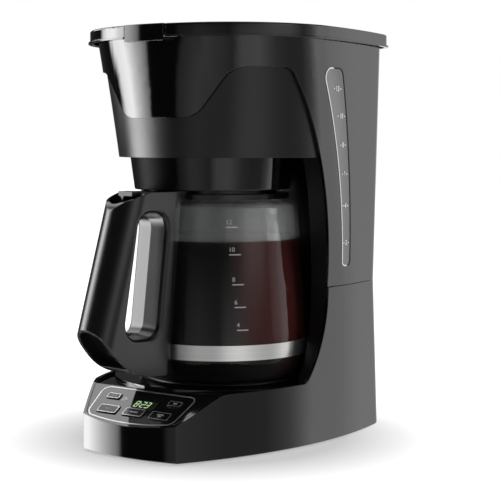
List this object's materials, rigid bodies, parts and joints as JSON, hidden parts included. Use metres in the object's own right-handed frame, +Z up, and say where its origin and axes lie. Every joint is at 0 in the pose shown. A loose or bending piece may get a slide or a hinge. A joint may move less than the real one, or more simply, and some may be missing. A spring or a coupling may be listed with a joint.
{
  "type": "drip coffee maker",
  "caption": "Black countertop drip coffee maker with a glass carafe on a warming plate, hinged top lid, side water window and sloped control panel.",
  "frame": {"origin": "on the table, under the middle of the object's bounding box", "axes": "+Z up; -Y towards the front, where the handle and the control panel are; +X towards the water window"},
  "size_m": [0.227, 0.287, 0.345],
  "materials": {
    "gloss_black": "gloss",
    "satin_black": "satin",
    "inner_black": "matte",
    "bright_trim": "polished",
    "window_clear": "clear",
    "glass": "clear",
    "steel": "brushed",
    "pin_steel": "plain",
    "plate_coating": "satin",
    "silicone": "matte",
    "clear_hose": "matte",
    "aluminium": "cast",
    "tank_plastic": "matte",
    "basket_plastic": "matte",
    "board_green": "satin",
    "key_grey": "satin",
    "display": "gloss",
    "lamp": "clear"
  },
  "bodies": {
    "base": {"upper_housing": "gloss_black", "lower_housing": "gloss_black", "top_rim": "gloss_black", "lid_hinge_pin": "pin_steel", "brew_head": "gloss_black", "drip_skirt": "gloss_black", "column_front": "inner_black", "water_tank": "tank_plastic", "water_window": "window_clear", "window_trim": "bright_trim", "check_valve": "silicone", "cold_hose": "clear_hose", "riser_hose": "clear_hose", "base_deck": "gloss_black", "warming_plate": "plate_coating", "plate_seal": "silicone", "heating_element": "aluminium", "thermostat": "pin_steel", "thermal_fuse": "pin_steel", "bottom_cover": "inner_black", "bottom_screws": "pin_steel", "rubber_feet": "silicone", "cord_grommet": "silicone", "power_board": "board_green", "control_panel": "satin_black", "control_board": "board_green", "lcd_module": "display", "lcd_lens": "window_clear", "indicator_lamp": "lamp"},
    "lid": {"lid_cover": "gloss_black", "lid_shower": "inner_black"},
    "basket": {"brew_basket": "basket_plastic", "drip_spring": "pin_steel"},
    "drip_stop": {"drip_plunger": "basket_plastic", "drip_seal": "silicone"},
    "carafe": {"carafe_glass": "glass", "carafe_band": "steel", "carafe_collar": "satin_black", "carafe_handle": "satin_black", "carafe_lid_pin": "pin_steel"},
    "carafe_lid": {"carafe_lid": "satin_black"},
    "hour_key": {"hour_button": "key_grey"},
    "minute_key": {"minute_button": "key_grey"},
    "program_key": {"program_button": "key_grey"},
    "power_key": {"power_button": "key_grey"},
    "auto_key": {"auto_button": "key_grey"}
  },
  "joints": [
    {"name": "lid_hinge", "type": "hinge", "parent": "base", "child": "lid", "pos_m": [0, 0.128, 0.341], "axis": [-1, 0, 0], "range_deg": [0, 100]},
    {"name": "basket_lift", "type": "slide", "parent": "base", "child": "basket", "axis": [0, 0, 1], "range_m": [0, 0.025]},
    {"name": "drip_stop_lift", "type": "slide", "parent": "basket", "child": "drip_stop", "axis": [0, 0, 1], "range_m": [0, 0.004], "stiffness_N_per_m": 120, "springref_m": -0.003, "deforming": ["drip_spring"]},
    {"name": "carafe_slide", "type": "slide", "parent": "base", "child": "carafe", "axis": [0, -1, 0], "range_m": [0, 0.25]},
    {"name": "carafe_lid_hinge", "type": "hinge", "parent": "carafe", "child": "carafe_lid", "pos_m": [-0.00747, -0.05308, 0.2075], "axis": [0.9936, -0.1132, 0], "range_deg": [0, 10]},
    {"name": "hour_press", "type": "slide", "parent": "base", "child": "hour_key", "axis": [0, 0.5225, -0.8526], "range_m": [0, 0.001], "stiffness_N_per_m": 600, "springref_m": -0.001},
    {"name": "minute_press", "type": "slide", "parent": "base", "child": "minute_key", "axis": [0, 0.5225, -0.8526], "range_m": [0, 0.001], "stiffness_N_per_m": 600, "springref_m": -0.001},
    {"name": "program_press", "type": "slide", "parent": "base", "child": "program_key", "axis": [0, 0.5225, -0.8526], "range_m": [0, 0.001], "stiffness_N_per_m": 600, "springref_m": -0.001},
    {"name": "power_press", "type": "slide", "parent": "base", "child": "power_key", "axis": [0, 0.5225, -0.8526], "range_m": [0, 0.001], "stiffness_N_per_m": 600, "springref_m": -0.001},
    {"name": "auto_press", "type": "slide", "parent": "base", "child": "auto_key", "axis": [0, 0.5225, -0.8526], "range_m": [0, 0.001], "stiffness_N_per_m": 600, "springref_m": -0.001}
  ]
}
